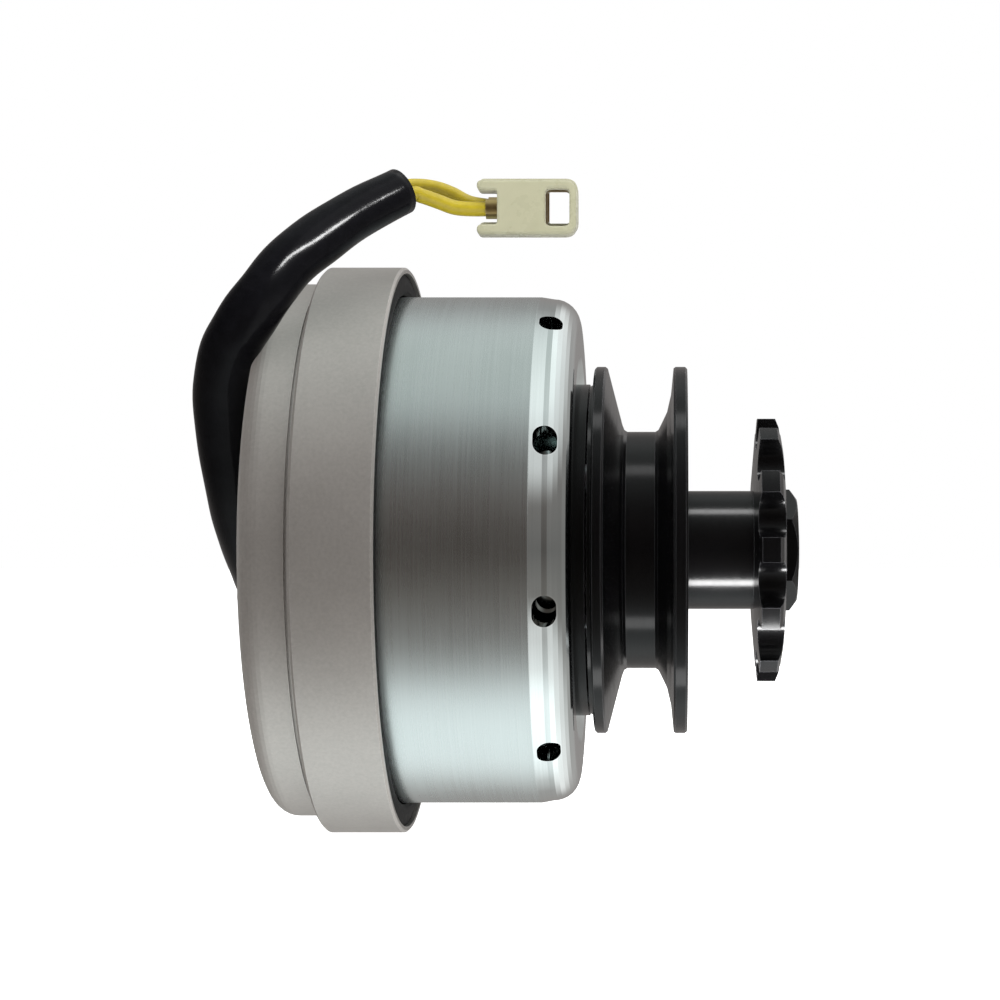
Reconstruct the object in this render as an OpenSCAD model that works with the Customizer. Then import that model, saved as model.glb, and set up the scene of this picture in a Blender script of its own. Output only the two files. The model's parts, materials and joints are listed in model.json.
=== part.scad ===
// Electromagnetic clutch with a V-belt pulley and a chain sprocket.
// The shaft lies along X, and the origin is the centre of the back mounting face.
// A belt turns the pulley on its own bearing. When the coil is fed, the rotor pulls the
// armature in, and the pulley then drives the rotor, the shaft and the sprocket on it.

/* [Housing] */
// Radius of the cast back cover
cover_r = 52.75; // [52.5:0.25:53.25]
// Depth of the back cover, up to its joint with the field ring
cover_depth = 10; // [9.6:0.1:10.4]
// Radius of the field ring's raised band
band_r = 56; // [55.75:0.25:57]
// Front face of the field ring, from the back face
ring_front = 25; // [24.8:0.1:25.4]
// Radius of the circle of the four mounting holes
mount_r = 35; // [34:0.5:36]
// Radius of a mounting hole, tapped M6
mount_hole_r = 2.5; // [2.3:0.1:2.7]

/* [Rotor] */
// Outer radius of the plated drum
drum_r = 50.2; // [50:0.1:50.6]
// Front rim of the drum, from the back face
drum_front = 59; // [59:0.1:59.3]
// Number of windows round the drum's front corner
window_count = 10; // [6:1:12]
// Radius of the shaft in its bearings
shaft_r = 8.5; // [8.5:0.1:8.6]
// Gap that the armature closes
air_gap = 0.4; // [0.3:0.05:0.45]

/* [Pulley] */
// Outer radius of the pulley
pulley_r = 36.5; // [36:0.25:38]
// Radius at the bottom of the belt groove
groove_r = 23.6; // [23:0.2:24]
// Left face of the pulley, from the back face
pulley_back = 62; // [62:0.1:62.1]
// Right face of the pulley, from the back face
pulley_front = 80.2; // [80:0.1:80.4]

/* [Sprocket] */
// Number of teeth
teeth = 12; // [11:1:12]
// Chain pitch
chain_pitch = 12.7; // [12.7]
// Radius of a chain roller's seat
seat_r = 4.05; // [4:0.05:4.2]
// Radius over the tooth tips
tip_r = 26.2; // [25.5:0.1:26.5]
// Radius of the long hub
hub_r = 11.8; // [11.6:0.1:12]

/* [Lead] */
// Radius of the vinyl sleeve
sleeve_r = 5; // [4.5:0.25:5]
// Radius of a wire over its insulation
wire_r = 1.4; // [1.2:0.1:1.4]

/* [Hidden] */

smooth = 96;           // facets of a preview circle
fit = 0.02;            // radial play of a seated part
cast_wall = 3.5;
plate_t = 5;           // thickness of the back plate
cover_fillet = 4;
joint_groove = [8.9, 9.35];  // sealing groove round the cover, beside its joint
joint_groove_depth = 0.6;
mount_boss_r = 5.5;
mount_depth = 6.5;
screw_circle_r = 45.5;
screw_start = 22.5;
screw_boss_r = 4.5;
screw_head_r = 3.5;
screw_head_t = 2.8;
screw_shank_r = 1.9;
web_back = 7.2;        // back of the web that carries the magnet core
web_t = 4.8;
ring_bore_r = 51.8;
seal_seat_r = 54.9;
seal_depth = 2;

bearing_bore_r = shaft_r;
bearing_r = 17.5;
bearing_w = 10;
ball_pitch_r = 13;
ball_r = 2.95;
ball_play = 0.1;
ball_count = 8;
race_outer_r = 15;     // bore of a bearing's outer ring
race_inner_r = 11;     // rim of its inner ring
race_clear_r = 12.5;
cage_t = 1.6;
circlip_t = 1.1;
circlip_r = 18.2;
circlip_bore_r = 15.6;
circlip_groove_r = 18.3;
rear_bearing_x = 3;
boss_r = 21.5;
boss_x = 15.5;

core_x = web_back + web_t;
core_front = 49.5;
core_bore_r = 23.5;
core_r = 45.5;
coil_back = core_x + 5;
coil_inner_r = 28;
coil_outer_r = 41.5;
rotor_face = 57.5;     // floor of the recess that the armature works against
rotor_hub_x = 38;
rotor_hub_r = 16;
rotor_web_x = core_front + 1;
drum_back = 17;
drum_wall = 3.6;
drum_pocket_r = 39.5;  // bottom of the drum's inside, past the coil
drum_pocket_x = 56.8;
drum_corner_x = 51.5;  // start of the tapered corner band
drum_taper = 0.4;
drum_corner = 5;
recess_r = 38.6;
friction_r = [26, 31];
friction_t = 1.3;
gap_hole_r = 1.6;      // holes that cut the magnetic path in the rotor's web
gap_hole_circle = 22.4;
window_start = 30.7;
window_x = 54.4;
window_r = 2.2;
window_stretch = 1.4;  // length of a window's straight sides, round the drum

armature_x = rotor_face + air_gap;
armature_t = 3;
armature_r = 33;
armature_bore_r = 14.5;
leaf_x = 61.15;
leaf_t = 0.5;
leaf_w = 7;
leaf_eye_r = 3.9;
rivet_circle_r = 27;
rivet_r = 1.5;
rivet_head_r = 2.8;
rivet_boss_r = 3.6;
guard_r = [31.4, 32.8];  // thin rim on the pulley's back, round the leaf springs
guard_x = 61.25;

pulley_bearing_x = 66.4;
pulley_bore_r = 15.6;
shield_x = 78.6;
shield_t = 0.8;
hub_shoulder_x = 78.2;   // where the hub widens, in front of the bearing
hub_neck_r = hub_r - 0.9;
sprocket_back = 93.2;
sprocket_front = 99.4;
nut_seat = 95.6;
washer_t = 1;
nut_h = 5.4;
nut_corner_r = 12.1;
thread_r = 6.9;
shaft_end = 102.3;
key_w = 5;
key_low = 6.5;
key_high = 10.2;
key_play = 0.03;

lead_exit = [-5.6, 9, -9];
lead_tilt = 65;        // turn about X from straight up to the way the lead leaves
outlet_r = 6;
outlet_len = 17;
grommet_r = 4.6;
grommet_flange = 1.5;
grommet_len = 8;
wire_bore_r = 3.2;
wire_way = 12;         // depth at which the wires turn into the housing
lead_route = [[-5.6, 7.6, -8.4], [-5.6, 3.1, -6.3], [-5.7, -2.5, -3.2], [-6, -9, 1.2],
    [-6.4, -15.5, 7], [-6.7, -21.5, 14.2], [-6.8, -27, 22.6], [-6.1, -32, 30.2],
    [-4.1, -36.2, 36.2], [-0.6, -39.4, 41.2], [3.5, -40.6, 46.6], [7.6, -39.2, 52.2],
    [13, -36, 57.4], [19, -31.4, 62.5], [26.2, -26, 67.4]];
front_wire = [[28.2, -26.8, 66.7], [30, -25.8, 66.6], [33, -24.8, 65.7], [36, -24.1, 64.7],
    [39, -24, 64.4], [41.9, -24, 64.4]];
rear_wire = [[26.2, -23.4, 68.4], [28.8, -21.2, 69.2], [32, -19.4, 69.1], [35, -18.4, 68.2],
    [38.5, -18, 66.5], [41.9, -18, 65.7]];
front_terminal = [0, -24, 64.4];
rear_terminal = [0, -18, 65.7];
boot_x = [40.5, 59.2];
boot_h = 10.2;
boot_t = 5.2;
boot_corner = 1.6;
boot_wall = 1.5;
boot_mouth = [3.8, 6.4];  // depth and height of the notch where the wire goes in
window_gap = [53.4, 58.2];
window_h = 7;

// Points along an arc, from angle a0 to a1, about the centre c.
function arc(c, r, a0, a1, steps = 8) =
    [for (i = [0:steps]) c + r * [cos(a0 + (a1 - a0) * i / steps), sin(a0 + (a1 - a0) * i / steps)]];

function unit(v) = v / norm(v);

// The direction of a route at its point i.
function heading(route, i) =
    unit(route[min(i + 1, len(route) - 1)] - route[max(i - 1, 0)]);

// A round tube's rings along a route. The reference vector is never in line with the route.
function route_ring(route, i, r, sides) =
    let (t = heading(route, i), u = unit(cross(t, [0.6, -0.2, -0.8])), v = cross(t, u))
    [for (k = [0:sides - 1]) route[i] + r * (cos(360 * k / sides) * u + sin(360 * k / sides) * v)];

module swept(route, r, sides) {
    last = len(route) - 1;
    points = [for (i = [0:last]) each route_ring(route, i, r, sides)];
    walls = [for (i = [0:last - 1], k = [0:sides - 1])
        let (a = i * sides + k, b = i * sides + (k + 1) % sides)
        each [[a, a + sides, b], [b, a + sides, b + sides]]];
    start_cap = [for (k = [1:sides - 2]) [0, k, k + 1]];
    end_cap = [for (k = [1:sides - 2]) [last * sides, last * sides + k + 1, last * sides + k]];
    polyhedron(points = points, faces = concat(walls, start_cap, end_cap));
}

// Children's local Z becomes X.
module along_x(x = 0) {
    translate([x, 0, 0])
        rotate([0, 90, 0])
            children();
}

// Turns a [radius, x] outline about the shaft's axis.
module turned(points) {
    along_x()
        rotate_extrude($fn = smooth)
            polygon(points);
}

module disc(r, x0, x1) {
    along_x(x0)
        cylinder(r = r, h = x1 - x0, $fn = smooth);
}

module ring(r0, r1, x0, x1) {
    difference() {
        disc(r1, x0, x1);
        disc(r0, x0 - 1, x1 + 1);
    }
}

module around(count, start = 0) {
    for (i = [0:count - 1])
        rotate([start + i * 360 / count, 0, 0])
            children();
}

// A rod along X that stands a distance above the shaft's axis.
module rod(r, x0, x1, height = 0) {
    translate([x0, 0, height])
        rotate([0, 90, 0])
            cylinder(r = r, h = x1 - x0, $fn = 48);
}

module keyway(x0, x1, play) {
    translate([x0, -key_w / 2 - play, key_low - play])
        cube([x1 - x0, key_w + 2 * play, key_high - key_low + 2 * play]);
}

// ---- bearings ----
// Each bearing part takes the x of the bearing's left face.

module race_groove(x) {
    along_x(x + bearing_w / 2)
        rotate_extrude($fn = smooth)
            translate([ball_pitch_r, 0])
                circle(r = ball_r + ball_play, $fn = 48);
}

module bearing_outer(x) {
    difference() {
        ring(race_outer_r, bearing_r, x, x + bearing_w);
        race_groove(x);
    }
}

module bearing_inner(x) {
    difference() {
        ring(bearing_bore_r + fit, race_inner_r, x, x + bearing_w);
        race_groove(x);
    }
}

module ball_set(x, r) {
    around(ball_count)
        translate([x + bearing_w / 2, 0, ball_pitch_r])
            sphere(r = r, $fn = 48);
}

module bearing_cage(x) {
    difference() {
        ring(ball_pitch_r - cage_t / 2, ball_pitch_r + cage_t / 2, x + 1.4, x + bearing_w - 1.4);
        ball_set(x, ball_r + ball_play);
    }
}

module bearing_seals(x) {
    for (side = [0.2, bearing_w - 1])
        ring(race_inner_r + 0.3, race_outer_r, x + side, x + side + 0.8);
}

module circlip(x) {
    difference() {
        ring(circlip_bore_r, circlip_r, x + 0.05, x + circlip_t);
        translate([x - 1, -3, 0])
            cube([4, 6, 20]);
    }
}

module rear_bearing_outer() {
    color("silver")
        bearing_outer(rear_bearing_x);
}

module rear_bearing_inner() {
    color("silver")
        bearing_inner(rear_bearing_x);
}

module rear_bearing_balls() {
    color("white")
        ball_set(rear_bearing_x, ball_r);
}

module rear_bearing_cage() {
    color("goldenrod")
        bearing_cage(rear_bearing_x);
}

module rear_bearing_seals() {
    color("black")
        bearing_seals(rear_bearing_x);
}

module rear_circlip() {
    color("gray")
        circlip(rear_bearing_x + bearing_w);
}

module pulley_bearing_outer() {
    color("silver")
        bearing_outer(pulley_bearing_x);
}

module pulley_bearing_inner() {
    color("silver")
        bearing_inner(pulley_bearing_x);
}

module pulley_bearing_balls() {
    color("white")
        ball_set(pulley_bearing_x, ball_r);
}

module pulley_bearing_cage() {
    color("goldenrod")
        bearing_cage(pulley_bearing_x);
}

module pulley_bearing_seals() {
    color("black")
        bearing_seals(pulley_bearing_x);
}

module pulley_circlip() {
    color("gray")
        circlip(pulley_bearing_x + bearing_w);
}

// ---- housing ----

module lead_way() {
    translate(lead_exit)
        rotate([lead_tilt, 0, 0])
            children();
}

// The bent way of the wires, from the grommet to the coil.
module wire_bore() {
    lead_way() {
        translate([0, 0, -wire_way - 2.5])
            cylinder(r = wire_bore_r, h = wire_way + 3, $fn = 48);
        translate([0, 0, -wire_way])
            rotate([0, 90, 0])
                cylinder(r = 2.4, h = 30, $fn = 48);
    }
}

module back_cover() {
    shell = concat([[0, 0]],
        arc([cover_r - cover_fillet, cover_fillet], cover_fillet, -90, 0),
        [[cover_r, joint_groove[0]], [cover_r - joint_groove_depth, joint_groove[0]],
         [cover_r - joint_groove_depth, joint_groove[1]], [cover_r, joint_groove[1]],
         [cover_r, cover_depth], [cover_r - cast_wall, cover_depth],
         [cover_r - cast_wall, plate_t], [0, plate_t]]);
    circlip_x = rear_bearing_x + bearing_w;
    color("lightgray")
        difference() {
            union() {
                turned(shell);
                disc(boss_r, plate_t - 1, boss_x);
                around(4)
                    rod(mount_boss_r, plate_t - 1, web_back - 0.2, mount_r);
                around(4, screw_start)
                    rod(screw_boss_r, plate_t - 1, web_back, screw_circle_r);
            }
            disc(bearing_r + fit, rear_bearing_x, boss_x + 1);
            disc(race_clear_r, rear_bearing_x - 0.8, rear_bearing_x + 1);
            disc(circlip_groove_r, circlip_x, circlip_x + circlip_t + 0.1);
            around(4)
                rod(mount_hole_r, -1, mount_depth, mount_r);
            around(4, screw_start) {
                rod(screw_head_r + 0.3, -1, screw_head_t, screw_circle_r);
                rod(screw_shank_r + 0.3, 0, web_back + 1, screw_circle_r);
            }
            wire_bore();
        }
}

// The outlet on the back face that the lead comes out of.
module lead_outlet() {
    color("lightgray")
        difference() {
            intersection() {
                lead_way()
                    translate([0, 0, -outlet_len])
                        union() {
                            cylinder(r = outlet_r, h = outlet_len, $fn = 64);
                            translate([0, -outlet_r, 0])
                                cube([2 * outlet_r, 2 * outlet_r, outlet_len]);
                        }
                translate([-30, -cover_r, -cover_r])
                    cube([30, 2 * cover_r, 2 * cover_r]);
            }
            lead_way()
                translate([0, 0, -grommet_len])
                    cylinder(r = grommet_r + 0.05, h = grommet_len + 1, $fn = 48);
            wire_bore();
        }
}

module field_ring() {
    inner = cover_r - cast_wall - 0.1;
    color("gainsboro")
        difference() {
            turned([[core_bore_r, web_back], [inner, web_back], [inner, cover_depth],
                [band_r - 0.5, cover_depth], [band_r, cover_depth + 0.5],
                [band_r, ring_front - 0.4], [band_r - 0.4, ring_front],
                [seal_seat_r, ring_front], [seal_seat_r, ring_front - seal_depth],
                [ring_bore_r, ring_front - seal_depth], [ring_bore_r, core_x],
                [core_bore_r, core_x]]);
            around(4, screw_start)
                rod(screw_shank_r + 0.1, 0, core_x + 1, screw_circle_r);
            wire_bore();
        }
}

module cover_screws() {
    cross_depth = 1.4;
    cross_len = 4.8;
    cross_w = 0.8;
    color("dimgray")
        around(4, screw_start)
            difference() {
                union() {
                    rod(screw_head_r, 0.4, screw_head_t, screw_circle_r);
                    rod(screw_shank_r, screw_head_t - 0.1, core_x - 0.3, screw_circle_r);
                }
                translate([0, 0, screw_circle_r])
                    rotate([45, 0, 0])
                        for (size = [[cross_len, cross_w], [cross_w, cross_len]])
                            translate([0, -size[0] / 2, -size[1] / 2])
                                cube([cross_depth, size[0], size[1]]);
            }
}

module dust_seal() {
    x = ring_front - seal_depth;
    lip_r = drum_r + 0.35;
    seat_r = seal_seat_r - 0.1;
    color("black")
        turned([[lip_r, x + 0.1], [seat_r, x + 0.1], [seat_r, x + 1.2], [seat_r - 0.9, x + 1.5],
            [seat_r - 2.3, x + 1.8], [lip_r + 0.8, x + 1.8], [lip_r, x + 1.3]]);
}

// ---- field coil ----

module magnet_core() {
    color("slategray")
        turned([[core_bore_r, core_x], [core_r, core_x], [core_r, core_front], [coil_outer_r, core_front],
            [coil_outer_r, coil_back], [coil_inner_r, coil_back], [coil_inner_r, core_front],
            [core_bore_r, core_front]]);
}

module coil_bobbin() {
    back = coil_back + 0.1;
    front = 47;
    tube_r = coil_inner_r + 1.6;
    rim_r = coil_outer_r - 0.2;
    color("ivory")
        turned([[coil_inner_r + 0.1, back], [rim_r, back], [rim_r, back + 1.5],
            [tube_r, back + 1.5], [tube_r, front - 1.5], [rim_r, front - 1.5], [rim_r, front],
            [coil_inner_r + 0.1, front]]);
}

module coil_winding() {
    color("peru")
        ring(coil_inner_r + 1.65, coil_outer_r - 0.9, coil_back + 1.65, 45.45);
}

module coil_cap() {
    color("darkslategray")
        ring(coil_inner_r + 0.1, coil_outer_r - 0.1, 47.05, core_front - 0.3);
}

// ---- rotor ----

module drum_window() {
    depth = drum_r - drum_pocket_r + 5;
    translate([window_x, 0, drum_pocket_r - 1.5]) {
        for (side = [-0.5, 0.5])
            translate([0, side * window_stretch, 0])
                cylinder(r = window_r, h = depth, $fn = 32);
        translate([-window_r, -window_stretch / 2, 0])
            cube([2 * window_r, window_stretch, depth]);
    }
}

module rotor_drum() {
    corner_c = [drum_r - drum_taper - drum_corner, drum_front - drum_corner];
    inner_r = drum_r - drum_wall;
    outline = concat([[inner_r, drum_back], [drum_r, drum_back], [drum_r, drum_corner_x]],
        arc(corner_c, drum_corner, 0, 90),
        [[recess_r, drum_front], [recess_r - 1.6, rotor_face], [shaft_r + fit, rotor_face],
         [shaft_r + fit, rotor_hub_x], [rotor_hub_r, rotor_hub_x], [rotor_hub_r, rotor_web_x],
         [drum_pocket_r, rotor_web_x], [drum_pocket_r, drum_pocket_x],
         [inner_r - 1, drum_pocket_x], [inner_r, drum_pocket_x - 1]]);
    color("lightsteelblue")
        difference() {
            turned(outline);
            ring(friction_r[0], friction_r[1], rotor_face - friction_t, rotor_face + 1);
            keyway(rotor_hub_x - 1, rotor_face + 1, key_play);
            around(window_count, window_start)
                drum_window();
            around(12)
                rod(gap_hole_r, core_front, rotor_face + 1, gap_hole_circle);
        }
}

module friction_ring() {
    color("saddlebrown")
        ring(friction_r[0] + 0.05, friction_r[1] - 0.05, rotor_face - friction_t + 0.05, rotor_face);
}

module main_shaft() {
    color("gray")
        difference() {
            turned([[0, 3.6], [shaft_r - 0.6, 3.6], [shaft_r, 4.2],
                [shaft_r, 13.05], [10.6, 13.05], [10.6, rotor_hub_x - 0.05],
                [shaft_r, rotor_hub_x - 0.05], [shaft_r, nut_seat - 0.2],
                [thread_r, nut_seat - 0.2], [thread_r, shaft_end - 0.8],
                [thread_r - 0.8, shaft_end], [0, shaft_end]]);
            keyway(42, 56, 0.02);
            keyway(80, 94, 0.02);
        }
}

module rotor_key() {
    color("darkgray")
        keyway(42.1, 55.9, 0);
}

module sprocket_key() {
    color("darkgray")
        keyway(80.1, 93.9, 0);
}

module inner_spacer() {
    color("gray")
        ring(shaft_r + fit, race_inner_r, rotor_face, pulley_bearing_x);
}

// ---- pulley and armature ----

// A place on the rivets' circle, at an angle from straight down.
module at_rivet(angle) {
    around(3)
        translate([0, rivet_circle_r * sin(angle), -rivet_circle_r * cos(angle)])
            children();
}

module pulley() {
    outline = [[pulley_bore_r, pulley_back], [pulley_r - 0.4, pulley_back], [pulley_r, pulley_back + 0.4],
        [pulley_r, pulley_back + 2], [pulley_r - 0.3, pulley_back + 2.4], [30, 66],
        [groove_r + 1.4, 67.3], [groove_r + 0.4, 67.7], [groove_r, 68.3],
        [groove_r, 73.9], [groove_r + 0.4, 74.5], [groove_r + 1.4, 75], [27.5, 76.2],
        [31, 77], [pulley_r - 0.3, pulley_front - 2.7], [pulley_r, pulley_front - 2.3],
        [pulley_r, pulley_front - 0.4], [pulley_r - 0.4, pulley_front],
        [bearing_r + fit, pulley_front], [bearing_r + fit, pulley_bearing_x],
        [pulley_bore_r, pulley_bearing_x]];
    circlip_x = pulley_bearing_x + bearing_w;
    color("#1c1c1e")
        difference() {
            union() {
                turned(outline);
                ring(guard_r[0], guard_r[1], guard_x, pulley_back + 0.5);
                at_rivet(0)
                    rod(rivet_boss_r, leaf_x + leaf_t, pulley_back + 0.5);
            }
            disc(circlip_groove_r, circlip_x, circlip_x + circlip_t + 0.1);
            at_rivet(0)
                rod(rivet_r + 0.05, leaf_x - 1, pulley_back + 3.6);
            at_rivet(60)
                rod(rivet_boss_r, leaf_x, pulley_back + 1.8);
        }
}

module pulley_shield() {
    color("#2a2a2c")
        ring(hub_r + 0.4, bearing_r - 0.05, shield_x, shield_x + shield_t);
}

module leaf_outline() {
    difference() {
        union() {
            translate([rivet_circle_r, 0])
                circle(r = leaf_eye_r, $fn = 48);
            rotate(60)
                translate([rivet_circle_r, 0])
                    circle(r = leaf_eye_r, $fn = 48);
            translate([rivet_circle_r, 0])
                rotate(120)
                    translate([0, -leaf_w / 2])
                        square([rivet_circle_r, leaf_w]);
        }
        for (angle = [0, 60])
            rotate(angle)
                translate([rivet_circle_r, 0])
                    circle(r = rivet_r + 0.2, $fn = 32);
    }
}

module leaf_springs() {
    color("silver")
        around(3)
            along_x(leaf_x)
                linear_extrude(leaf_t)
                    leaf_outline();
}

module spring_rivets() {
    color("silver")
        at_rivet(0) {
            rod(rivet_head_r, leaf_x - 0.9, leaf_x);
            rod(rivet_r, leaf_x - 0.1, pulley_back + 3.4);
        }
}

module armature_plate() {
    color("#242426")
        difference() {
            ring(armature_bore_r, armature_r, armature_x, armature_x + armature_t);
            at_rivet(0)
                rod(rivet_boss_r - 0.1, armature_x - 1, armature_x + armature_t + 1);
            at_rivet(60)
                rod(rivet_r + 0.02, armature_x - 1, armature_x + armature_t + 1);
        }
}

module armature_rivets() {
    head_x = leaf_x + leaf_t + 0.5;
    color("silver")
        at_rivet(60) {
            rod(rivet_r, armature_x + 0.1, head_x + 0.1);
            rod(rivet_head_r, head_x, head_x + 1);
        }
}

// ---- sprocket end ----

// The gap between two teeth: a roller seat that opens outwards.
module tooth_gap() {
    pitch_r = chain_pitch / (2 * sin(180 / teeth));
    translate([pitch_r, 0])
        circle(r = seat_r, $fn = 48);
    polygon([[pitch_r - 0.5, -seat_r + 0.03], [pitch_r + 5, -seat_r - 1.3],
        [pitch_r + 5, seat_r + 1.3], [pitch_r - 0.5, seat_r - 0.03]]);
}

module sprocket() {
    hub_back = pulley_bearing_x + bearing_w;
    color("#1c1c1e")
        difference() {
            union() {
                turned([[shaft_r + fit, hub_back], [hub_neck_r, hub_back],
                    [hub_neck_r, hub_shoulder_x], [hub_r, hub_shoulder_x + 0.2],
                    [hub_r, sprocket_back + 1], [shaft_r + fit, sprocket_back + 1]]);
                intersection() {
                    along_x(sprocket_back)
                        linear_extrude(sprocket_front - sprocket_back)
                            difference() {
                                circle(r = tip_r, $fn = smooth);
                                for (i = [0:teeth - 1])
                                    rotate((i + 0.5) * 360 / teeth)
                                        tooth_gap();
                            }
                    turned([[0, sprocket_back], [15, sprocket_back], [19.5, sprocket_back + 0.4],
                        [tip_r, sprocket_back + 1], [tip_r, sprocket_front - 1.7],
                        [24.5, sprocket_front - 1], [21, sprocket_front - 0.4],
                        [16, sprocket_front], [0, sprocket_front]]);
                }
            }
            disc(shaft_r + fit, sprocket_back - 1, sprocket_front + 1);
            disc(nut_corner_r + 0.6, nut_seat, sprocket_front + 1);
            keyway(hub_back - 1, nut_seat + 1, key_play);
        }
}

module lock_washer() {
    color("dimgray")
        difference() {
            ring(thread_r + 0.2, nut_corner_r + 0.2, nut_seat, nut_seat + washer_t);
            translate([nut_seat - 1, -0.6, 0])
                cube([4, 1.2, 20]);
        }
}

module shaft_nut() {
    x = nut_seat + washer_t;
    color("#2e2e30")
        difference() {
            intersection() {
                along_x(x)
                    cylinder(r = nut_corner_r, h = nut_h, $fn = 6);
                turned([[0, x], [nut_corner_r, x], [nut_corner_r, x + nut_h - 1.4],
                    [nut_corner_r - 1.9, x + nut_h], [0, x + nut_h]]);
            }
            disc(thread_r + 0.05, x - 1, x + nut_h + 1);
        }
}

// ---- lead ----

module lead_grommet() {
    color("#202020")
        lead_way()
            difference() {
                union() {
                    translate([0, 0, 0.5 - grommet_len])
                        cylinder(r = grommet_r, h = grommet_len, $fn = 48);
                    translate([0, 0, 0.02])
                        cylinder(r = outlet_r - 0.5, h = grommet_flange - 0.02, $fn = 48);
                }
                translate([0, 0, -grommet_len])
                    cylinder(r = wire_bore_r, h = grommet_len, $fn = 48);
            }
}

module lead_sleeve() {
    color("#151517")
        swept(lead_route, sleeve_r, 12);
}

module lead_wires() {
    color("gold") {
        swept(front_wire, wire_r, 8);
        swept(rear_wire, wire_r, 8);
    }
}

module boot_outline() {
    length = boot_x[1] - boot_x[0];
    translate([boot_corner, 0])
        square([length - 2 * boot_corner, boot_h]);
    translate([0, boot_corner])
        square([length, boot_h - 2 * boot_corner]);
    for (x = [boot_corner, length - boot_corner], y = [boot_corner, boot_h - boot_corner])
        translate([x, y])
            circle(r = boot_corner, $fn = 32);
}

module boot() {
    inside_h = boot_h - 2;
    difference() {
        translate([boot_x[0], boot_t / 2, -boot_h / 2])
            rotate([90, 0, 0])
                linear_extrude(boot_t)
                    boot_outline();
        translate([boot_x[0] + boot_wall, -1, -inside_h / 2])
            cube([boot_x[1] - boot_x[0] - boot_wall - 0.8, 2, inside_h]);
        rod(2, boot_x[0] + boot_wall, boot_x[0] + 6);
        translate([boot_x[0] - 1, -boot_t, -boot_mouth[1] / 2])
            cube([boot_mouth[0] + 1, 2 * boot_t, boot_mouth[1]]);
        translate([window_gap[0], -boot_t, -window_h / 2])
            cube([window_gap[1] - window_gap[0], 2 * boot_t, window_h]);
    }
}

module terminal() {
    plate_x = boot_x[0] + 5.4;
    plate_h = boot_h - 2.4;
    rod(1.9, boot_x[0] + boot_wall + 0.1, plate_x + 0.3);
    difference() {
        translate([plate_x, -0.4, -plate_h / 2])
            cube([boot_x[1] - plate_x - 0.9, 0.8, plate_h]);
        translate([window_gap[0] + 0.3, -1, -window_h / 2 + 0.3])
            cube([window_gap[1] - window_gap[0] - 0.6, 2, window_h - 0.6]);
    }
}

module wire_terminals() {
    color("khaki")
        for (place = [front_terminal, rear_terminal])
            translate(place)
                terminal();
}

module terminal_boots() {
    color("beige")
        for (place = [front_terminal, rear_terminal])
            translate(place)
                boot();
}

back_cover();
lead_outlet();
field_ring();
cover_screws();
dust_seal();
magnet_core();
coil_bobbin();
coil_winding();
coil_cap();
rear_bearing_outer();
rear_bearing_inner();
rear_bearing_balls();
rear_bearing_cage();
rear_bearing_seals();
rear_circlip();
rotor_drum();
friction_ring();
main_shaft();
rotor_key();
sprocket_key();
inner_spacer();
pulley_bearing_outer();
pulley_bearing_inner();
pulley_bearing_balls();
pulley_bearing_cage();
pulley_bearing_seals();
pulley_circlip();
pulley();
pulley_shield();
leaf_springs();
spring_rivets();
armature_plate();
armature_rivets();
sprocket();
lock_washer();
shaft_nut();
lead_grommet();
lead_sleeve();
lead_wires();
wire_terminals();
terminal_boots();
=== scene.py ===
import json
import math

import bmesh
import bpy
from mathutils import Matrix, Vector


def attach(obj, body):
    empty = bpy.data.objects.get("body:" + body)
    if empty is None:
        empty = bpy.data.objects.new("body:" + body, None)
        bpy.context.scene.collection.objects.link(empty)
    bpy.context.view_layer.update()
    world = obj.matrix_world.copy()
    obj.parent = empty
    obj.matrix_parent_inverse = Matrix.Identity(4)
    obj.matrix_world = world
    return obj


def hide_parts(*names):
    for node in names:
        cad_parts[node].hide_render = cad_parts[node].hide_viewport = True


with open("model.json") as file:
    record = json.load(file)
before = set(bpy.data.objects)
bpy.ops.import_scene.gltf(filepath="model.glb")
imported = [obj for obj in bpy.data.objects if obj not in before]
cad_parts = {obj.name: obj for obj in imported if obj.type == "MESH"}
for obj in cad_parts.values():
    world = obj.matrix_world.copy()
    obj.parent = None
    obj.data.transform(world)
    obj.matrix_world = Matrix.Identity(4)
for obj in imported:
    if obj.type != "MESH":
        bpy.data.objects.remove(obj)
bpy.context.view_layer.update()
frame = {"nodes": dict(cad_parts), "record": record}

MM = 0.001

# ---- camera: level with the shaft, square to it, in metres ----

VIEW_X = 76.8 * MM
VIEW_DISTANCE = 430 * MM
LENS = 77.4
SHIFT = (-0.17, 0.05)

# ---- lead: the same route as the CAD's, in millimetres ----

SLEEVE_DIAMETER = 10
SLEEVE_WALL = 0.8
SLEEVE_SIDES = 40
SLEEVE_SQUEEZE = (0.45, 0.75)    # added to the half width and taken from the half depth at the bend
SLEEVE_TAPER = (0.55, 0.45)      # taken from the half width and half depth towards the far end
SLEEVE_TAPER_FROM = 0.8          # the fraction of its length where it begins to taper
WIRE_DIAMETER = 2.8
WIRE_SIDES = 20
LEAD_ROUTE = [(-5.6, 7.6, -8.4), (-5.6, 3.1, -6.3), (-5.7, -2.5, -3.2), (-6, -9, 1.2),
              (-6.4, -15.5, 7), (-6.7, -21.5, 14.2), (-6.8, -27, 22.6), (-6.1, -32, 30.2),
              (-4.1, -36.2, 36.2), (-0.6, -39.4, 41.2), (3.5, -40.6, 46.6), (7.6, -39.2, 52.2),
              (13, -36, 57.4), (19, -31.4, 62.5), (26.2, -26, 67.4)]
FRONT_WIRE = [(16.6, -33.6, 60), (21.4, -30.2, 63.6), (28.2, -26.8, 66.7), (30, -25.8, 66.6),
              (33, -24.8, 65.7), (36, -24.1, 64.7), (39, -24, 64.4), (43.5, -24, 64.4)]
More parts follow.
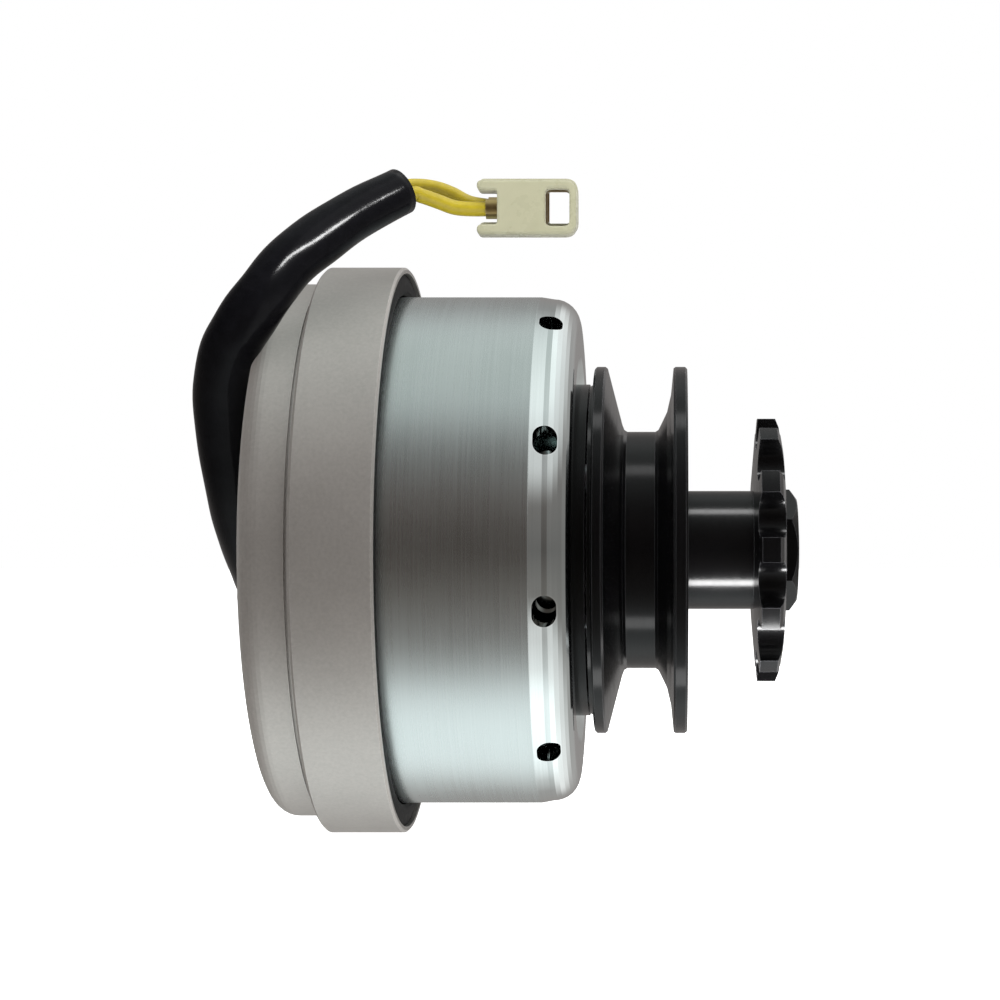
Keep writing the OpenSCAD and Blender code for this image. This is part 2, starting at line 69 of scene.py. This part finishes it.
REAR_WIRE = [(16.4, -31.8, 60.4), (21, -27.8, 65), (26.2, -23.4, 68.4), (28.8, -21.2, 69.2),
             (32, -19.4, 69.1), (35, -18.4, 68.2), (38.5, -18, 66.5), (43.5, -18, 65.7)]
ROUTE_STEPS = 6                  # steps of the smooth curve in each stretch of a route
OPEN_STEPS = 9                   # steps that the sleeve is hollow at its far end

# ---- terminal covers: each is drawn flat round its own place, in millimetres ----

FRONT_TERMINAL = (0, -24, 64.4)
REAR_TERMINAL = (0, -18, 65.7)
BOOT_X = (40.5, 59.2)
BOOT_HEIGHT = 10.2
BOOT_THICKNESS = 5.2
BOOT_MOUTH_DEPTH = 3.8
BOOT_MOUTH_HEIGHT = 6.4
BOOT_WINDOW_X = (53.4, 57.9)
BOOT_WINDOW_HEIGHT = 7
BOOT_EDGE = 0.5
BOOT_CORNER = 1.8
BOOT_LIP_CORNER = 0.4
BOOT_MOUTH_CORNER = 1.2
BOOT_WINDOW_CORNER = 1.6
CORNER_STEPS = 6

# ---- finishes: what surface() makes of each material slot ----

MOTTLE_SCALE = 45.0
MOTTLE_SHARE = 0.45          # the mottle's share of the mix, the rest is grain
POLISHED_ROUGHNESS = 0.28    # what a polished stretch keeps of its roughness
POLISHED_GRAIN = 0.2         # what it keeps of its grain's height
POLISH_FADE = 0.3 * MM       # the length over which the polish sets in
LATHE = (2600.0, 22.0)       # scales of turning marks, across them and along them

FINISHES = {
    "cast_aluminium": dict(
        colour=(0.555, 0.532, 0.504), shade=(0.435, 0.416, 0.393), metallic=0.86,
        roughness=(0.40, 0.52), grain=1500.0, relief=0.25, relief_depth=0.06 * MM,
        edge=(0.72, 0.71, 0.69), edge_radius=0.2 * MM),
    "plated_steel": dict(
        colour=(0.70, 0.755, 0.75), shade=(0.60, 0.65, 0.645), metallic=1.0,
        roughness=(0.22, 0.33), turned=LATHE, relief=0.10, relief_depth=0.02 * MM,
        edge=(0.86, 0.90, 0.90), polished_from=51.5 * MM),
    "black_oxide": dict(
        colour=(0.0010, 0.0010, 0.0012), shade=(0.0024, 0.0024, 0.0026),
        roughness=(0.13, 0.24), turned=(1400.0, 60.0), relief=0.20, relief_depth=0.05 * MM,
        edge=(0.05, 0.05, 0.054), edge_radius=0.22 * MM,
        sockets={"IOR": 1.5, "Specular IOR Level": 0.2}),
    "vinyl_black": dict(
        colour=(0.0007, 0.0007, 0.0009), shade=(0.0018, 0.0018, 0.0022),
        roughness=(0.12, 0.20), grain=420.0, relief=0.16, relief_depth=0.15 * MM,
        sockets={"IOR": 1.5, "Specular IOR Level": 0.08}),
    "wire_yellow": dict(
        colour=(0.49, 0.38, 0.014), shade=(0.33, 0.26, 0.014),
        roughness=(0.28, 0.40), grain=500.0, relief=0.12, relief_depth=0.1 * MM),
    "boot_vinyl": dict(
        colour=(0.40, 0.39, 0.27), shade=(0.35, 0.345, 0.235),
        roughness=(0.22, 0.34), grain=300.0, relief=0.06, relief_depth=0.1 * MM,
        sockets={"IOR": 1.40, "Sheen Weight": 0.1}),
    "terminal_brass": dict(
        colour=(0.62, 0.47, 0.20), shade=(0.42, 0.31, 0.13), metallic=1.0,
        roughness=(0.25, 0.40), relief=0.15, edge=(0.80, 0.66, 0.36)),
    "rubber_black": dict(
        colour=(0.0035, 0.0035, 0.0037), shade=(0.010, 0.010, 0.010),
        roughness=(0.55, 0.75), grain=1400.0, relief=0.30, sockets={"Specular IOR Level": 0.2}),
    "bearing_steel": dict(
        colour=(0.62, 0.62, 0.63), shade=(0.50, 0.50, 0.51), metallic=1.0,
        roughness=(0.10, 0.20), turned=LATHE, relief=0.08, edge=(0.80, 0.80, 0.81)),
    "shaft_steel": dict(
        colour=(0.46, 0.45, 0.44), shade=(0.34, 0.33, 0.32), metallic=1.0,
        roughness=(0.22, 0.36), turned=LATHE, relief=0.14, edge=(0.70, 0.69, 0.68)),
    "spring_steel": dict(
        colour=(0.42, 0.43, 0.45), shade=(0.28, 0.29, 0.31), metallic=1.0,
        roughness=(0.25, 0.40), grain=1200.0, relief=0.14, edge=(0.66, 0.67, 0.69)),
    "steel_screw": dict(
        colour=(0.40, 0.40, 0.41), shade=(0.26, 0.26, 0.27), metallic=1.0,
        roughness=(0.28, 0.42), grain=1300.0, relief=0.18, edge=(0.68, 0.68, 0.69)),
    "iron_core": dict(
        colour=(0.24, 0.235, 0.23), shade=(0.15, 0.145, 0.14), metallic=0.9,
        roughness=(0.45, 0.60), grain=1100.0, relief=0.25, edge=(0.45, 0.44, 0.43)),
    "copper_winding": dict(
        colour=(0.55, 0.24, 0.08), shade=(0.30, 0.12, 0.04), metallic=0.9,
        roughness=(0.20, 0.34), turned=(1900.0, 15.0), relief=0.60, relief_depth=0.2 * MM),
    "cage_brass": dict(
        colour=(0.60, 0.43, 0.16), shade=(0.44, 0.31, 0.11), metallic=1.0,
        roughness=(0.28, 0.42), grain=1000.0, relief=0.15, edge=(0.80, 0.64, 0.34)),
    "friction_lining": dict(
        colour=(0.13, 0.095, 0.07), shade=(0.055, 0.045, 0.038),
        roughness=(0.65, 0.85), grain=1700.0, relief=0.50, relief_depth=0.1 * MM),
    "nylon": dict(
        colour=(0.72, 0.69, 0.60), shade=(0.62, 0.59, 0.50),
        roughness=(0.40, 0.55), grain=700.0, relief=0.12),
    "resin": dict(
        colour=(0.035, 0.050, 0.048), shade=(0.018, 0.026, 0.025),
        roughness=(0.25, 0.45), grain=600.0, relief=0.20),
}

# ---- stage and light, in metres and watts ----

FLOOR_Z = -0.0570
FLOOR_HALF_SIZE = 6.0
FLOOR_GLOW = 0.95
BODY_CENTRE = (0.05, 0, 0)
HUB_CENTRE = (0.085, 0, 0)
SLEEVE_BEND = (0.013, -0.036, 0.057)
SOFTBOXES = (
    # name, place, size, power
    ("top_softbox", (0.02, -0.22, 0.62), (0.9, 0.35), 4.6),
    ("left_softbox", (-0.55, -0.35, 0.35), (0.4, 0.4), 1.2),
    ("back_softbox", (0.35, 0.55, 0.45), (0.5, 0.4), 2.5),
)
SLEEVE_STRIP = ((0.273, -0.406, 0.272), (0.42, 0.06), 12.0)
TOP_STRIP = ((0.085, -0.035, 0.155), (0.25, 0.03))
LOW_STRIP = ((0.085, -0.03, -0.054), (0.10, 0.012))
STRIP_POWERS = {"pulley": (0.07, 0.015), "sprocket": (0.34, 0.24)}   # of the top and the low strip

# The tent's light from straight below, at 0, to straight above, at 1.
TENT_STOPS = [
    (0.0, (1.10, 1.18, 1.18)),
    (0.03, (1.0, 1.06, 1.06)),
    (0.10, (0.47, 0.475, 0.465)),
    (0.18, (0.23, 0.215, 0.205)),
    (0.33, (0.145, 0.127, 0.115)),
    (0.50, (0.062, 0.050, 0.044)),
    (0.70, (0.12, 0.10, 0.092)),
    (0.83, (0.16, 0.155, 0.15)),
    (0.90, (0.33, 0.34, 0.335)),
    (0.95, (0.52, 0.56, 0.55)),
    (1.0, (0.58, 0.63, 0.61)),
]


def metres(point):
    return Vector(point) * MM


# ---- mesh helpers ----

def smooth_route(points):
    """A Catmull-Rom curve in metres through points in millimetres."""
    points = [metres(point) for point in points]
    ends = [2 * points[0] - points[1], *points, 2 * points[-1] - points[-2]]
    out = []
    for a, b, c, d in zip(ends, ends[1:], ends[2:], ends[3:]):
        for i in range(ROUTE_STEPS):
            t = i / ROUTE_STEPS
            out.append(0.5 * (2 * b + (c - a) * t + (2 * a - 5 * b + 4 * c - d) * t ** 2
                              + (3 * b - a - 3 * c + d) * t ** 3))
    return out + [points[-1]]


def direction(route, i):
    return (route[min(i + 1, len(route) - 1)] - route[max(i - 1, 0)]).normalized()


def carried_frames(route, depth):
    """For each point of a route, a wide and a deep direction, carried back from the far end."""
    frames = []
    for i in reversed(range(len(route))):
        along = direction(route, i)
        depth = (depth - depth.dot(along) * along).normalized()
        frames.append((along.cross(depth), depth))
    return frames[::-1]


def add_ring(bm, centre, wide, deep, half_width, half_depth, sides):
    ring = []
    for k in range(sides):
        turn = 2 * math.pi * k / sides
        ring.append(bm.verts.new(centre + half_width * math.cos(turn) * wide
                                 + half_depth * math.sin(turn) * deep))
    return ring


def bridge(bm, ring, following):
    for k in range(len(ring)):
        j = (k + 1) % len(ring)
        bm.faces.new((ring[k], ring[j], following[j], following[k]))


def mesh_object(name, bm, flat_axis=None):
    """Makes a smooth-shaded object. Faces that lie square to the flat axis stay flat."""
    bmesh.ops.recalc_face_normals(bm, faces=bm.faces)
    mesh = bpy.data.meshes.new(name)
    bm.to_mesh(mesh)
    bm.free()
    for face in mesh.polygons:
        face.use_smooth = flat_axis is None or abs(face.normal[flat_axis]) < 0.99
    obj = bpy.data.objects.new(name, mesh)
    bpy.context.scene.collection.objects.link(obj)
    return obj


def tube(name, route, half_sizes, sides, wall=0.0, open_steps=0):
    """A closed tube. half_sizes gives the half width and half depth at a fraction of its length.

    With open_steps, its far end is open, with the given wall, down to a floor that many steps in.
    """
    bm = bmesh.new()
    frames = carried_frames(route, Vector((0, 1, 0)))
    last = len(route) - 1
    stations = [(i, 0) for i in range(last + 1)]
    if open_steps:
        stations += [(last, wall * 0.35), (last, wall)]
        stations += [(i, wall) for i in range(last - 1, last - open_steps, -1)]
    rings = []
    for i, inset in stations:
        half_width, half_depth = half_sizes(i / last)
        rings.append(add_ring(bm, route[i], *frames[i], half_width - inset, half_depth - inset, sides))
    for ring, following in zip(rings, rings[1:]):
        bridge(bm, ring, following)
    bm.faces.new(rings[0])
    bm.faces.new(rings[-1])
    return mesh_object(name, bm)


def sleeve_half_sizes(fraction):
    """The soft sleeve is round at its grommet and flattened where it bends, with slight waves."""
    squeeze = math.sin(math.pi * min(1, fraction * 1.15)) ** 2
    taper = max(0, fraction - SLEEVE_TAPER_FROM) / (1 - SLEEVE_TAPER_FROM)
    wave = 0.08 * math.sin(31 * fraction) + 0.05 * math.sin(67 * fraction + 1)
    half = SLEEVE_DIAMETER / 2
    half_width = half + SLEEVE_SQUEEZE[0] * squeeze - SLEEVE_TAPER[0] * taper + wave
    half_depth = half - SLEEVE_SQUEEZE[1] * squeeze - SLEEVE_TAPER[1] * taper - wave
    return half_width * MM, half_depth * MM


def wire_half_sizes(fraction):
    return WIRE_DIAMETER / 2 * MM, WIRE_DIAMETER / 2 * MM


# ---- node helpers ----

class NodeTree:
    """A node tree that is laid out from socket to socket."""

    def __init__(self, tree):
        self.tree = tree

    def node(self, kind, **settings):
        made = self.tree.nodes.new(kind)
        for key, value in settings.items():
            setattr(made, key, value)
        return made

    def link(self, source, target):
        self.tree.links.new(source, target)

    def calculate(self, operation, *inputs):
        """A Math node. Each input is a number or a socket."""
        made = self.node("ShaderNodeMath", operation=operation)
        for socket, value in zip(made.inputs, inputs):
            if isinstance(value, (int, float)):
                socket.default_value = value
            else:
                self.link(value, socket)
        return made.outputs[0]

    def split(self, vector):
        made = self.node("ShaderNodeSeparateXYZ")
        self.link(vector, made.inputs[0])
        return made.outputs

    def remap(self, value, start, end, low, high, **settings):
        """Maps start to end onto low to high, held at its ends."""
        made = self.node("ShaderNodeMapRange", **settings)
        made.inputs["From Min"].default_value = start
        made.inputs["From Max"].default_value = end
        made.inputs["To Min"].default_value = low
        made.inputs["To Max"].default_value = high
        self.link(value, made.inputs["Value"])
        return made.outputs["Result"]


class Material(NodeTree):
    """A principled material with a few procedural layers."""

    def __init__(self, name):
        self.material = bpy.data.materials.new(name)
        self.material.use_nodes = True
        super().__init__(self.material.node_tree)
        self.shader = self.tree.nodes["Principled BSDF"]

    def position(self):
        return self.node("ShaderNodeTexCoord").outputs["Object"]

    def turned_position(self, across, along):
        """Coordinates that change fast along a turned part's outline and slowly round it."""
        x, y, z = self.split(self.position())
        radius = self.calculate("SQRT", self.calculate("ADD", self.calculate("MULTIPLY", y, y),
                                                       self.calculate("MULTIPLY", z, z)))
        outline = self.calculate("ADD", x, radius)
        join = self.node("ShaderNodeCombineXYZ")
        for value, scale, socket in ((outline, across, 0), (y, along, 1), (z, along, 2)):
            self.link(self.calculate("MULTIPLY", value, scale), join.inputs[socket])
        return join.outputs[0]

    def noise(self, where, scale, detail, roughness):
        made = self.node("ShaderNodeTexNoise")
        made.inputs["Scale"].default_value = scale
        made.inputs["Detail"].default_value = detail
        made.inputs["Roughness"].default_value = roughness
        self.link(where, made.inputs["Vector"])
        return made.outputs["Fac"]

    def between(self, noise, low, high):
        """Maps the middle of a noise's range onto low to high."""
        return self.remap(noise, 0.3, 0.7, low, high)

    def falling(self, value, start, kept):
        """1 up to start, falling smoothly to what is kept a short way past it."""
        return self.remap(value, start, start + POLISH_FADE, 1, kept, interpolation_type="SMOOTHSTEP")

    def blend(self, factor, first, second):
        """Mixes two colours, each a tuple or a socket."""
        made = self.node("ShaderNodeMix", data_type="RGBA")
        self.link(factor, made.inputs["Factor"])
        for socket, colour in ((made.inputs[6], first), (made.inputs[7], second)):
            if isinstance(colour, tuple):
                socket.default_value = (*colour, 1)
            else:
                self.link(colour, socket)
        return made.outputs[2]

    def edge_mask(self, radius):
        """1 where a rounded edge's normal leaves the face's own, 0 on flat stretches."""
        bevel = self.node("ShaderNodeBevel", samples=4)
        bevel.inputs["Radius"].default_value = radius
        dot = self.node("ShaderNodeVectorMath", operation="DOT_PRODUCT")
        self.link(bevel.outputs[0], dot.inputs[0])
        self.link(self.node("ShaderNodeNewGeometry").outputs["Normal"], dot.inputs[1])
        return self.remap(dot.outputs["Value"], 0.995, 0.90, 0, 1)

    def bump(self, height, strength, distance):
        made = self.node("ShaderNodeBump")
        made.inputs["Strength"].default_value = strength
        made.inputs["Distance"].default_value = distance
        self.link(height, made.inputs["Height"])
        self.link(made.outputs["Normal"], self.shader.inputs["Normal"])


def surface(name, colour, shade, roughness, metallic=0.0, turned=None, grain=900.0, relief=0.15,
            relief_depth=0.05 * MM, edge=None, edge_radius=0.4 * MM, polished_from=None, sockets=()):
    """Builds one procedural material.

    colour and shade are mixed by a coarse mottle and a fine grain. turned is the pair of scales
    for lathe marks, or None for an even grain. edge is the colour of worn edges. polished_from is
    the x from which the part is polished smooth. sockets are constant values for the shader.
    """
    made = Material(name)
    where = made.position()
    mottle = made.noise(where, MOTTLE_SCALE, 4.0, 0.55)
    if turned:
        fine = made.noise(made.turned_position(*turned), 1.0, 4.0, 0.65)
    else:
        fine = made.noise(where, grain, 3.0, 0.6)
    mixed = made.calculate("ADD", made.calculate("MULTIPLY", mottle, MOTTLE_SHARE),
                           made.calculate("MULTIPLY", fine, 1 - MOTTLE_SHARE))
    tone = made.blend(made.between(mixed, 0.0, 1.0), shade, colour)
    if edge:
        worn = made.calculate("MULTIPLY", made.edge_mask(edge_radius), made.between(fine, 0.35, 1.0))
        tone = made.blend(worn, tone, edge)
    made.link(tone, made.shader.inputs["Base Color"])

    dullness = made.between(mixed, *roughness)
    height = fine
    if polished_from is not None:
        x = made.split(where)[0]
        dullness = made.calculate("MULTIPLY", dullness, made.falling(x, polished_from, POLISHED_ROUGHNESS))
        height = made.calculate("MULTIPLY", fine, made.falling(x, polished_from, POLISHED_GRAIN))
    made.link(dullness, made.shader.inputs["Roughness"])
    made.shader.inputs["Metallic"].default_value = metallic
    made.bump(height, relief, relief_depth)
    for socket, value in dict(sockets).items():
        made.shader.inputs[socket].default_value = value
    return made.material


def paint(obj, material):
    obj.data.materials.clear()
    obj.data.materials.append(material)


def paint_cad_nodes(materials):
    slots = {part["node"]: part["material_slot"] for part in frame["record"]["subparts"]}
    for node, obj in frame["nodes"].items():
        paint(obj, materials[slots[node]])


# ---- camera ----

def add_camera():
    data = bpy.data.cameras.new("camera")
    data.lens = LENS
    data.shift_x, data.shift_y = SHIFT
    data.clip_start = 0.01
    data.clip_end = 20
    camera = bpy.data.objects.new("camera", data)
    camera.location = (VIEW_X, -VIEW_DISTANCE, 0)
    camera.rotation_euler = (math.pi / 2, 0, 0)
    bpy.context.scene.collection.objects.link(camera)
    bpy.context.scene.camera = camera


# ---- lead ----

def rounded(corners):
    """Rounds each corner (x, z, radius) of a closed outline with a short curve."""
    points = [Vector(corner[:2]) for corner in corners]
    out = []
    for i, (corner, (_, _, radius)) in enumerate(zip(points, corners)):
        start = corner + (points[i - 1] - corner).normalized() * radius
        end = corner + (points[(i + 1) % len(points)] - corner).normalized() * radius
        for step in range(CORNER_STEPS + 1):
            t = step / CORNER_STEPS
            out.append((1 - t) ** 2 * start + 2 * t * (1 - t) * corner + t ** 2 * end)
    return out


def boot_outlines():
    """The cover's outline with its mouth, and its window, both set back by the edge's rounding."""
    x0, x1 = BOOT_X[0] + BOOT_EDGE, BOOT_X[1] - BOOT_EDGE
    top = BOOT_HEIGHT / 2 - BOOT_EDGE
    lip = BOOT_MOUTH_HEIGHT / 2 + BOOT_EDGE
    mouth = BOOT_X[0] + BOOT_MOUTH_DEPTH + BOOT_EDGE
    outer = [(x1, -top, BOOT_CORNER), (x1, top, BOOT_CORNER),
             (x0, top, BOOT_LIP_CORNER), (x0, lip, BOOT_LIP_CORNER),
             (mouth, lip, BOOT_MOUTH_CORNER), (mouth, -lip, BOOT_MOUTH_CORNER),
             (x0, -lip, BOOT_LIP_CORNER), (x0, -top, BOOT_LIP_CORNER)]
    left, right = BOOT_WINDOW_X[0] - BOOT_EDGE, BOOT_WINDOW_X[1] + BOOT_EDGE
    high = BOOT_WINDOW_HEIGHT / 2 + BOOT_EDGE
    corners = ((left, -high), (left, high), (right, high), (right, -high))
    window = [(x, z, BOOT_WINDOW_CORNER) for x, z in corners]
    return rounded(outer), rounded(window)


def terminal_boot(name, place):
    """A soft flat cover with rounded edges, a window through it and a mouth for its wire."""
    curve = bpy.data.curves.new(name, "CURVE")
    curve.dimensions = "2D"
    curve.fill_mode = "BOTH"
    curve.extrude = (BOOT_THICKNESS / 2 - BOOT_EDGE) * MM
    curve.bevel_depth = BOOT_EDGE * MM
    curve.bevel_resolution = 3
    for outline in boot_outlines():
        spline = curve.splines.new("POLY")
        spline.points.add(len(outline) - 1)
        spline.use_cyclic_u = True
        for point, (x, z) in zip(spline.points, outline):
            point.co = (x * MM, z * MM, 0, 1)
    drawn = bpy.data.objects.new(name + "_outline", curve)
    mesh = bpy.data.meshes.new_from_object(drawn)
    bpy.data.objects.remove(drawn)
    mesh.transform(Matrix.Translation(metres(place)) @ Matrix.Rotation(math.pi / 2, 4, "X"))
    bm = bmesh.new()
    bm.from_mesh(mesh)
    bmesh.ops.remove_doubles(bm, verts=bm.verts, dist=0.01 * MM)
    return mesh_object(name, bm, flat_axis=1)


def dress(piece, slot, replaced, materials):
    """Paints a piece, puts it on the fixed body and lets it stand for a CAD node."""
    paint(piece, materials[slot])
    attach(piece, "field")
    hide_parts(replaced)


def add_lead(materials):
    route = smooth_route(LEAD_ROUTE)
    sleeve = tube("lead_sleeve_soft", route, sleeve_half_sizes, SLEEVE_SIDES, SLEEVE_WALL * MM, OPEN_STEPS)
    dress(sleeve, "vinyl_black", "lead_sleeve", materials)

    on_lead = []
    for name, points in (("lead_wire_front", FRONT_WIRE), ("lead_wire_rear", REAR_WIRE)):
        wire = tube(name, smooth_route(points), wire_half_sizes, WIRE_SIDES)
        dress(wire, "wire_yellow", "lead_wires", materials)
        on_lead.append(wire)
    for name, place in (("terminal_boot_front", FRONT_TERMINAL), ("terminal_boot_rear", REAR_TERMINAL)):
        boot = terminal_boot(name, place)
        dress(boot, "boot_vinyl", "terminal_boots", materials)
        on_lead.append(boot)
    on_lead.append(frame["nodes"]["wire_terminals"])

    for piece in (sleeve, *on_lead):
        piece.visible_glossy = False
    return sleeve


# ---- stage and light ----

def add_floor():
    bm = bmesh.new()
    bmesh.ops.create_grid(bm, x_segments=8, y_segments=8, size=FLOOR_HALF_SIZE)
    floor = mesh_object("floor", bm)
    floor.location = (0, 0, FLOOR_Z)
    material = bpy.data.materials.new("floor_white")
    material.use_nodes = True
    shader = material.node_tree.nodes["Principled BSDF"]
    shader.inputs["Base Color"].default_value = (0.9, 0.9, 0.9, 1)
    shader.inputs["Roughness"].default_value = 0.9
    shader.inputs["Emission Color"].default_value = (1, 1, 1, 1)
    shader.inputs["Emission Strength"].default_value = FLOOR_GLOW
    paint(floor, material)
    floor.visible_glossy = False


def tent_ramp(nodes, height):
    ramp = nodes.node("ShaderNodeValToRGB")
    elements = ramp.color_ramp.elements
    while len(elements) < len(TENT_STOPS):
        elements.new(0.5)
    for element, (position, colour) in zip(elements, TENT_STOPS):
        element.position = position
        element.color = (*colour, 1)
    nodes.link(height, ramp.inputs["Fac"])
    return ramp.outputs["Color"]


def add_world():
    """A light tent that only light rays see: the camera sees plain white."""
    world = bpy.data.worlds.new("tent")
    bpy.context.scene.world = world
    world.use_nodes = True
    nodes = NodeTree(world.node_tree)
    nodes.tree.nodes.clear()

    def rise(value, start, end, top):
        return nodes.remap(value, start, end, 0, top, interpolation_type="SMOOTHSTEP")

    x, y, z = nodes.split(nodes.node("ShaderNodeTexCoord").outputs["Generated"])
    ramp = tent_ramp(nodes, nodes.remap(z, -1, 1, 0, 1))
    behind = rise(y, -0.1, 0.8, 0.20)
    steep = rise(nodes.calculate("ABSOLUTE", z), 0.30, 0.62, 0.55)
    steep_right = nodes.calculate("MULTIPLY", steep, rise(x, 0.02, 0.22, 1.0))
    low_right = rise(x, 0.02, 0.30, 0.13)
    extra = nodes.calculate("ADD", nodes.calculate("ADD", behind, low_right), steep_right)
    tent = nodes.node("ShaderNodeMix", data_type="RGBA", blend_type="ADD")
    tent.inputs["Factor"].default_value = 1
    nodes.link(ramp, tent.inputs[6])
    nodes.link(extra, tent.inputs[7])

    lit = nodes.node("ShaderNodeBackground")
    nodes.link(tent.outputs[2], lit.inputs["Color"])
    seen = nodes.node("ShaderNodeBackground")
    seen.inputs["Color"].default_value = (1, 1, 1, 1)
    choose = nodes.node("ShaderNodeMixShader")
    nodes.link(nodes.node("ShaderNodeLightPath").outputs["Is Camera Ray"], choose.inputs["Fac"])
    nodes.link(lit.outputs[0], choose.inputs[1])
    nodes.link(seen.outputs[0], choose.inputs[2])
    nodes.link(choose.outputs[0], nodes.node("ShaderNodeOutputWorld").inputs["Surface"])


def add_area_light(name, location, target, size, power):
    """A soft light that doesn't show in reflections."""
    data = bpy.data.lights.new(name, "AREA")
    data.shape = "RECTANGLE"
    data.size, data.size_y = size
    data.energy = power
    light = bpy.data.objects.new(name, data)
    light.location = location
    light.visible_glossy = False
    light.rotation_euler = (Vector(target) - Vector(location)).to_track_quat("-Z", "Y").to_euler()
    bpy.context.scene.collection.objects.link(light)
    return light


def add_strip_light(name, receiver, location, target, size, power):
    """A light that only the receiver reflects, for the bright lines on dark glossy parts."""
    light = add_area_light(name, location, target, size, power)
    light.visible_glossy = True
    light.visible_camera = False
    lit = bpy.data.collections.new(name + "_receivers")
    lit.objects.link(receiver)
    light.light_linking.receiver_collection = lit


def add_lights(sleeve):
    for name, location, size, power in SOFTBOXES:
        add_area_light(name, location, BODY_CENTRE, size, power)
    location, size, power = SLEEVE_STRIP
    add_strip_light("sleeve_strip", sleeve, location, SLEEVE_BEND, size, power)
    for node, powers in STRIP_POWERS.items():
        for end, (location, size), power in zip(("top", "low"), (TOP_STRIP, LOW_STRIP), powers):
            add_strip_light(f"{node}_{end}_strip", frame["nodes"][node], location, HUB_CENTRE, size, power)


add_camera()
library = {name: surface(name, **finish) for name, finish in FINISHES.items()}
lead_sleeve = add_lead(library)
paint_cad_nodes(library)
add_floor()
add_world()
add_lights(lead_sleeve)
bpy.context.scene.view_settings.view_transform = "Standard"
